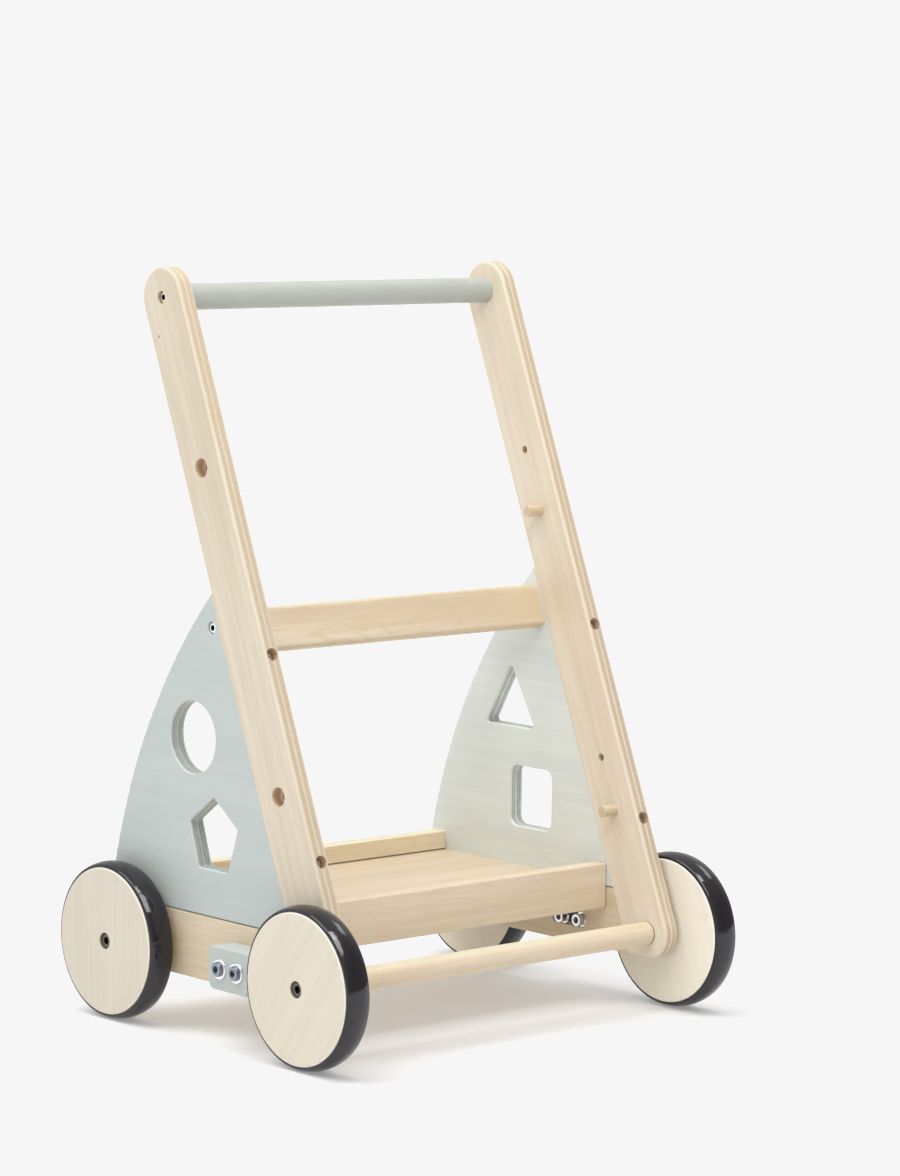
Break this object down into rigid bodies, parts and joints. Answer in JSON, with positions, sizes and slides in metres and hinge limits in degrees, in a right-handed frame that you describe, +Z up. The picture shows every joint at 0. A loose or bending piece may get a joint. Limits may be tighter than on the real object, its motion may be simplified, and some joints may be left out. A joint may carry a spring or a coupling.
{
  "type": "baby walker",
  "caption": "Wooden push walker with rubber-tyred wheels, a round handle on leaning uprights, a tray between arched panels with shape-sorting holes, and sliding brake blocks.",
  "frame": {"origin": "on the floor, under the middle of the wheelbase and midway between the sides", "axes": "+Z up, X across the walker, -Y the way it rolls away from the child, +Y towards the child who holds the handle"},
  "size_m": [0.348, 0.314, 0.5115],
  "materials": {
    "upright_wood": "satin lacquered birch plywood",
    "rail_wood": "satin lacquered birch plywood, warmer",
    "tray_wood": "satin lacquered plywood",
    "bar_wood": "turned natural hardwood",
    "wheel_wood": "pale plywood",
    "green_paint": "satin sage-green paint on wood",
    "tyre_rubber": "smooth glossy black rubber",
    "bush_nylon": "natural nylon",
    "axle_steel": "dark zinc-plated steel",
    "screw_steel": "bright zinc-plated steel",
    "insert_brass": "machined brass",
    "bolt_chrome": "bright nickel plate"
  },
  "bodies": {
    "frame": {"handle": "green_paint", "front_crossbar": "bar_wood", "cross_rail": "rail_wood", "tray_floor": "tray_wood", "tray_front_board": "tray_wood", "tray_rear_board": "tray_wood", "tray_dowels": "bar_wood", "upright_left": "upright_wood", "side_panel_left": "green_paint", "side_rail_left": "rail_wood", "handle_screw_left": "screw_steel", "cross_rail_screw_left": "screw_steel", "panel_dowels_left": "bar_wood", "foot_dowels_left": "bar_wood", "peg_upper_left": "bar_wood", "upright_screw_upper_left": "screw_steel", "peg_lower_left": "bar_wood", "upright_screw_lower_left": "screw_steel", "upright_right": "upright_wood", "side_panel_right": "green_paint", "side_rail_right": "rail_wood", "handle_screw_right": "screw_steel", "cross_rail_screw_right": "screw_steel", "panel_dowels_right": "bar_wood", "foot_dowels_right": "bar_wood", "peg_upper_right": "bar_wood", "upright_screw_upper_right": "screw_steel", "peg_lower_right": "bar_wood", "upright_screw_lower_right": "screw_steel", "axle_sleeve_front_left": "axle_steel", "axle_bolt_front_left": "axle_steel", "axle_insert_front_left": "insert_brass", "axle_sleeve_front_right": "axle_steel", "axle_bolt_front_right": "axle_steel", "axle_insert_front_right": "insert_brass", "axle_sleeve_rear_left": "axle_steel", "axle_bolt_rear_left": "axle_steel", "axle_insert_rear_left": "insert_brass", "axle_sleeve_rear_right": "axle_steel", "axle_bolt_rear_right": "axle_steel", "axle_insert_rear_right": "insert_brass"},
    "brake_left": {"brake_block_left": "green_paint", "brake_bolts_left": "bolt_chrome", "brake_nuts_left": "bolt_chrome"},
    "brake_right": {"brake_block_right": "green_paint", "brake_bolts_right": "bolt_chrome", "brake_nuts_right": "bolt_chrome"},
    "wheel_front_left": {"wheel_disc_front_left": "wheel_wood", "tyre_front_left": "tyre_rubber", "wheel_bush_front_left": "bush_nylon"},
    "wheel_front_right": {"wheel_disc_front_right": "wheel_wood", "tyre_front_right": "tyre_rubber", "wheel_bush_front_right": "bush_nylon"},
    "wheel_rear_left": {"wheel_disc_rear_left": "wheel_wood", "tyre_rear_left": "tyre_rubber", "wheel_bush_rear_left": "bush_nylon"},
    "wheel_rear_right": {"wheel_disc_rear_right": "wheel_wood", "tyre_rear_right": "tyre_rubber", "wheel_bush_rear_right": "bush_nylon"}
  },
  "joints": [
    {"name": "brake_left_slide", "type": "slide", "parent": "frame", "child": "brake_left", "axis": [0, 1, 0], "range_m": [0, 0.007]},
    {"name": "brake_right_slide", "type": "slide", "parent": "frame", "child": "brake_right", "axis": [0, 1, 0], "range_m": [0, 0.007]},
    {"name": "wheel_front_left_spin", "type": "hinge", "parent": "frame", "child": "wheel_front_left", "pos_m": [-0.164, -0.103, 0.054], "axis": [1, 0, 0], "continuous": true},
    {"name": "wheel_front_right_spin", "type": "hinge", "parent": "frame", "child": "wheel_front_right", "pos_m": [0.164, -0.103, 0.054], "axis": [1, 0, 0], "continuous": true},
    {"name": "wheel_rear_left_spin", "type": "hinge", "parent": "frame", "child": "wheel_rear_left", "pos_m": [-0.164, 0.103, 0.054], "axis": [1, 0, 0], "continuous": true},
    {"name": "wheel_rear_right_spin", "type": "hinge", "parent": "frame", "child": "wheel_rear_right", "pos_m": [0.164, 0.103, 0.054], "axis": [1, 0, 0], "continuous": true}
  ]
}
